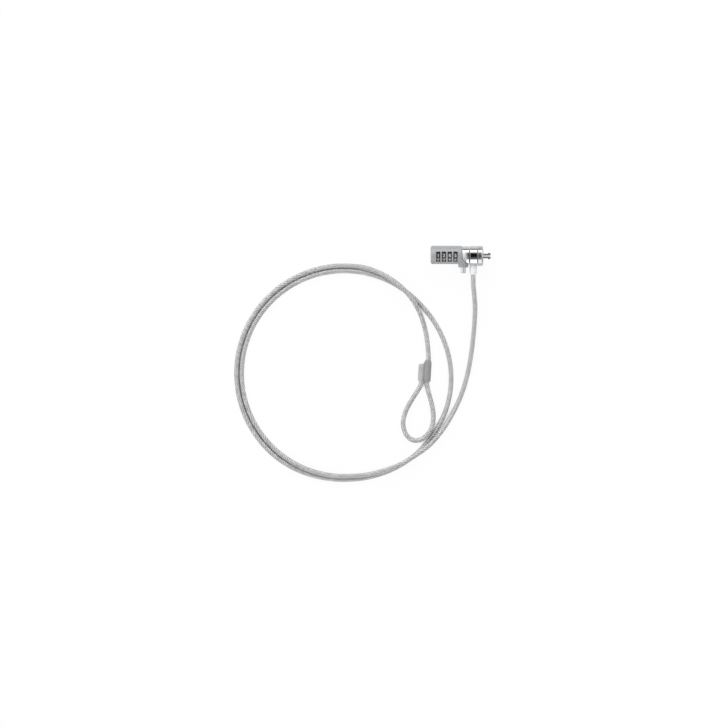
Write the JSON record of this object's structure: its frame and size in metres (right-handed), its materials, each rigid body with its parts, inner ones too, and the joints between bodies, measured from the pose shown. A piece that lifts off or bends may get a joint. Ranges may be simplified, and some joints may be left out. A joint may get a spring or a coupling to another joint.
{
  "type": "laptop cable lock",
  "caption": "Laptop cable lock: combination head with windows, side button, swivel collar, two spread hooks, and a coiled steel cable ending in a crimped eye.",
  "frame": {"origin": "centre of the nose face, on the swivel axis", "axes": "+X out of the nose along the hooks, +Z out of the dial windows, and the cable leaves along -Y"},
  "size_m": [0.2463, 0.2266, 0.0194],
  "materials": {
    "case_paint": "satin",
    "bright_chrome": "polished",
    "hook_steel": "satin",
    "inner_steel": "machined",
    "dial_plastic": "matte",
    "hub_brass": "machined",
    "washer_plastic": "matte",
    "cable_cover": "clear cover over twisted steel wire",
    "sleeve_metal": "crimped",
    "sleeve_plastic": "satin"
  },
  "bodies": {
    "collar_and_cable": {"swivel_collar": "bright_chrome", "cable_ferrule": "bright_chrome", "cable_lead": "cable_cover", "cable_coil": "cable_cover", "cable_tail": "cable_cover", "cable_eye": "cable_cover", "crimp_sleeve": "sleeve_metal", "sleeve_cover": "sleeve_plastic"},
    "lock_head": {"case_shell": "case_paint", "rear_plug": "case_paint", "case_pins": "inner_steel", "front_barrel": "bright_chrome", "bearing_plate": "inner_steel", "plate_screws": "inner_steel", "nose_cap": "bright_chrome", "nose_pin": "inner_steel", "dial_washers": "washer_plastic", "hook_pins": "inner_steel", "return_spring": "inner_steel"},
    "code_dial_1": {"dial_1": "dial_plastic", "clutch_hub_1": "hub_brass"},
    "code_dial_2": {"dial_2": "dial_plastic", "clutch_hub_2": "hub_brass"},
    "code_dial_3": {"dial_3": "dial_plastic", "clutch_hub_3": "hub_brass"},
    "code_dial_4": {"dial_4": "dial_plastic", "clutch_hub_4": "hub_brass"},
    "button": {"push_button": "bright_chrome"},
    "lock_slider": {"slider": "inner_steel", "spindle": "inner_steel"},
    "upper_hook": {"hook_upper": "hook_steel"},
    "lower_hook": {"hook_lower": "hook_steel"},
    "code_screw": {"reset_screw": "inner_steel"}
  },
  "joints": [
    {"name": "head_swivel", "type": "hinge", "parent": "collar_and_cable", "child": "lock_head", "pos_m": [0, 0, 0], "axis": [1, 0, 0], "continuous": true},
    {"name": "dial_1_turn", "type": "hinge", "parent": "lock_head", "child": "code_dial_1", "pos_m": [-0.0433, 0.0011, 0], "axis": [1, 0, 0], "continuous": true},
    {"name": "dial_2_turn", "type": "hinge", "parent": "lock_head", "child": "code_dial_2", "pos_m": [-0.0378, 0.0011, 0], "axis": [1, 0, 0], "continuous": true},
    {"name": "dial_3_turn", "type": "hinge", "parent": "lock_head", "child": "code_dial_3", "pos_m": [-0.0323, 0.0011, 0], "axis": [1, 0, 0], "continuous": true},
    {"name": "dial_4_turn", "type": "hinge", "parent": "lock_head", "child": "code_dial_4", "pos_m": [-0.0268, 0.0011, 0], "axis": [1, 0, 0], "continuous": true},
    {"name": "button_push", "type": "slide", "parent": "lock_head", "child": "button", "axis": [0, 1, 0], "range_m": [0, 0.002], "stiffness_N_per_m": 400, "springref_m": -0.001},
    {"name": "slider_move", "type": "slide", "parent": "lock_head", "child": "lock_slider", "axis": [1, 0, 0], "range_m": [0, 0.002], "deforming": ["return_spring"]},
    {"name": "upper_hook_swing", "type": "hinge", "parent": "lock_head", "child": "upper_hook", "pos_m": [-0.0085, 0.0026, 0], "axis": [0, 0, 1], "range_deg": [0, 4.5]},
    {"name": "lower_hook_swing", "type": "hinge", "parent": "lock_head", "child": "lower_hook", "pos_m": [-0.0085, -0.0026, 0], "axis": [0, 0, 1], "range_deg": [-4.5, 0]},
    {"name": "code_screw_turn", "type": "hinge", "parent": "lock_head", "child": "code_screw", "pos_m": [-0.0496, 0.0011, 0], "axis": [1, 0, 0], "range_deg": [0, 90]}
  ],
  "couplings": [
    {"joint": "slider_move", "follows": "button_push", "ratio": 1},
    {"joint": "upper_hook_swing", "follows": "button_push", "rad_per_m": 39.2},
    {"joint": "lower_hook_swing", "follows": "button_push", "rad_per_m": -39.2}
  ]
}
